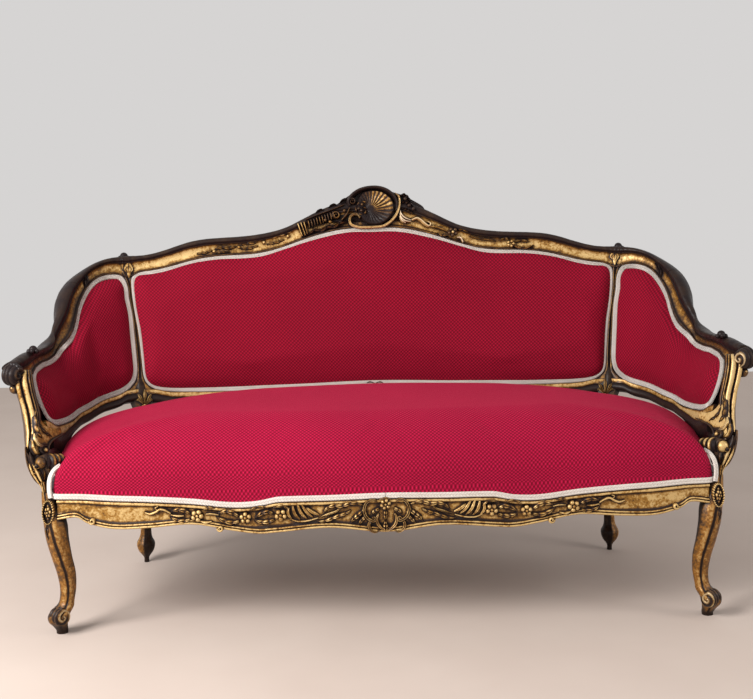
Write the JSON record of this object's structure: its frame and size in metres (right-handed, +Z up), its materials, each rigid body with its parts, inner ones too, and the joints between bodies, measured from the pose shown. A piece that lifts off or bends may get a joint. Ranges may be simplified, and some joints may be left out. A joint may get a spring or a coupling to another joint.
{
  "type": "cabriole sofa",
  "caption": "Carved giltwood sofa with a serpentine crest, curved upholstered back and sides, domed crimson seat, scrolled arms and cabriole front legs.",
  "frame": {"origin": "on the floor, under the centre of the sofa's bounding box", "axes": "+X to the viewer's right as one faces the sofa's front, +Y from front to back, +Z up"},
  "size_m": [1.8138, 0.8396, 1.0226],
  "materials": {
    "gilt_wood": "worn gilding over carved beech, dark patina in the hollows",
    "bare_beech": "plain planed beech",
    "crimson_fabric": "crimson furnishing fabric with a small raised lozenge weave",
    "lining_fabric": "plain crimson cover on the outside of back and sides",
    "braid": "off-white ribbed gimp braid",
    "hair_stuffing": "curled hair stuffing",
    "jute_webbing": "woven jute webbing",
    "spring_steel": "coppered steel wire"
  },
  "bodies": {
    "root": {"crest_rail": "gilt_wood", "crest_shell": "gilt_wood", "lower_back_rail": "gilt_wood", "front_seat_rail": "gilt_wood", "rear_seat_rail": "gilt_wood", "shoulder_rail_left": "gilt_wood", "shoulder_rail_right": "gilt_wood", "arm_rail_left": "gilt_wood", "arm_rail_right": "gilt_wood", "arm_support_left": "gilt_wood", "arm_support_right": "gilt_wood", "back_post_left": "gilt_wood", "back_post_right": "gilt_wood", "lower_side_rail_left": "gilt_wood", "lower_side_rail_right": "gilt_wood", "side_seat_rail_left": "gilt_wood", "side_seat_rail_right": "gilt_wood", "front_leg_left": "gilt_wood", "front_leg_right": "gilt_wood", "front_corner_block_left": "bare_beech", "front_corner_block_right": "bare_beech", "rear_corner_block_left": "bare_beech", "rear_corner_block_right": "bare_beech", "crest_dowel_left": "bare_beech", "crest_dowel_right": "bare_beech", "arm_dowel_left": "bare_beech", "arm_dowel_right": "bare_beech", "support_top_dowel_left": "bare_beech", "support_top_dowel_right": "bare_beech", "support_foot_dowel_left": "bare_beech", "support_foot_dowel_right": "bare_beech", "seat_cross_bearer": "bare_beech", "seat_webbing": "jute_webbing", "seat_springs": "spring_steel", "seat_stuffing": "hair_stuffing", "seat_cover": "crimson_fabric", "seat_gimp": "braid", "back_webbing": "jute_webbing", "back_stuffing": "hair_stuffing", "back_cover": "crimson_fabric", "back_gimp": "braid", "back_outer_cover": "lining_fabric", "side_webbing_left": "jute_webbing", "side_webbing_right": "jute_webbing", "side_stuffing_left": "hair_stuffing", "side_stuffing_right": "hair_stuffing", "side_cover_left": "crimson_fabric", "side_cover_right": "crimson_fabric", "side_gimp_left": "braid", "side_gimp_right": "braid", "side_outer_cover_left": "lining_fabric", "side_outer_cover_right": "lining_fabric"}
  },
  "joints": []
}
